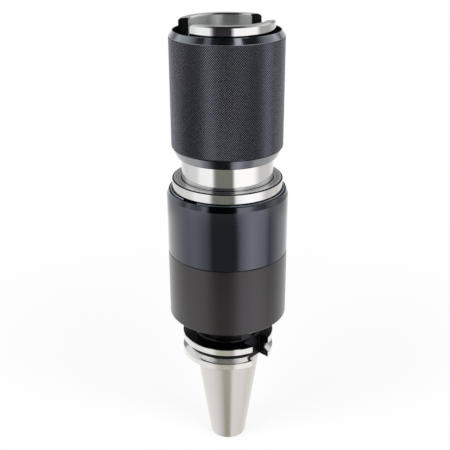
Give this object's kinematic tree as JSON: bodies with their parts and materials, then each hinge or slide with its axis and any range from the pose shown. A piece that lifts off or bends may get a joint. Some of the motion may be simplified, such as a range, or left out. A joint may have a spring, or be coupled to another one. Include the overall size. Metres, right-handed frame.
{
  "type": "tap holder",
  "caption": "Long tap holder with a steep taper and V-flange, a sprung housing for length compensation and a knurled quick-change sleeve around its adapter bore.",
  "frame": {"origin": "on the taper's axis at its gauge plane, 44.45 mm across", "axes": "+Z along the axis, from the taper to the nose; +X through the middle of the deeper drive slot of the flange"},
  "size_m": [0.08, 0.08, 0.3028],
  "materials": {
    "black_oxide": "black oxide on turned steel",
    "polished_black_oxide": "black oxide on ground steel, glossy",
    "ground_steel": "ground hardened steel",
    "turned_steel": "fine turned steel",
    "spring_steel": "oil tempered spring steel",
    "alloy_bolt_steel": "black alloy steel",
    "ball_steel": "lapped ball steel",
    "cage_brass": "turned brass",
    "nitrile_rubber": "moulded rubber"
  },
  "bodies": {
    "housing": {"taper_shank": "black_oxide", "housing_barrel": "polished_black_oxide", "guide_collar": "turned_steel", "collar_snap_ring": "spring_steel", "spindle_wiper": "nitrile_rubber", "tie_bolt": "alloy_bolt_steel", "spring_plate": "turned_steel", "compression_spring": "spring_steel", "tension_spring": "spring_steel"},
    "spindle": {"spindle": "ground_steel", "spindle_stop_ring": "turned_steel", "grub_screw": "alloy_bolt_steel", "bore_stop_disc": "turned_steel", "bore_snap_ring": "spring_steel", "spring_seat_ring": "spring_steel", "spring_seat_washer": "turned_steel", "sleeve_stop_ring": "spring_steel", "sleeve_spring": "spring_steel"},
    "ball_cage": {"ball_cage": "cage_brass", "torque_balls": "ball_steel"},
    "locking_ball_1": {"locking_ball_1": "ball_steel"},
    "locking_ball_2": {"locking_ball_2": "ball_steel"},
    "locking_ball_3": {"locking_ball_3": "ball_steel"},
    "release_sleeve": {"release_sleeve": "black_oxide", "sleeve_end_ring": "polished_black_oxide"}
  },
  "joints": [
    {"name": "length_compensation", "type": "slide", "parent": "housing", "child": "spindle", "axis": [0, 0, 1], "range_m": [-0.0095, 0.015], "stiffness_N_per_m": 20000, "deforming": ["compression_spring", "tension_spring"]},
    {"name": "cage_roll", "type": "slide", "parent": "housing", "child": "ball_cage", "axis": [0, 0, 1], "range_m": [-0.00475, 0.0075]},
    {"name": "sleeve_release", "type": "slide", "parent": "spindle", "child": "release_sleeve", "axis": [0, 0, -1], "range_m": [0, 0.005], "stiffness_N_per_m": 2000, "springref_m": -0.01, "deforming": ["sleeve_spring"]},
    {"name": "ball_1_retreat", "type": "slide", "parent": "spindle", "child": "locking_ball_1", "axis": [-0.8829, 0.4695, 0], "range_m": [0, 0.00165]},
    {"name": "ball_2_retreat", "type": "slide", "parent": "spindle", "child": "locking_ball_2", "axis": [0.0349, -0.9994, 0], "range_m": [0, 0.00165]},
    {"name": "ball_3_retreat", "type": "slide", "parent": "spindle", "child": "locking_ball_3", "axis": [0.848, 0.5299, 0], "range_m": [0, 0.00165]}
  ],
  "couplings": [
    {"joint": "cage_roll", "follows": "length_compensation", "ratio": 0.5},
    {"joint": "ball_1_retreat", "follows": "sleeve_release", "ratio": 0.33},
    {"joint": "ball_2_retreat", "follows": "sleeve_release", "ratio": 0.33},
    {"joint": "ball_3_retreat", "follows": "sleeve_release", "ratio": 0.33}
  ]
}
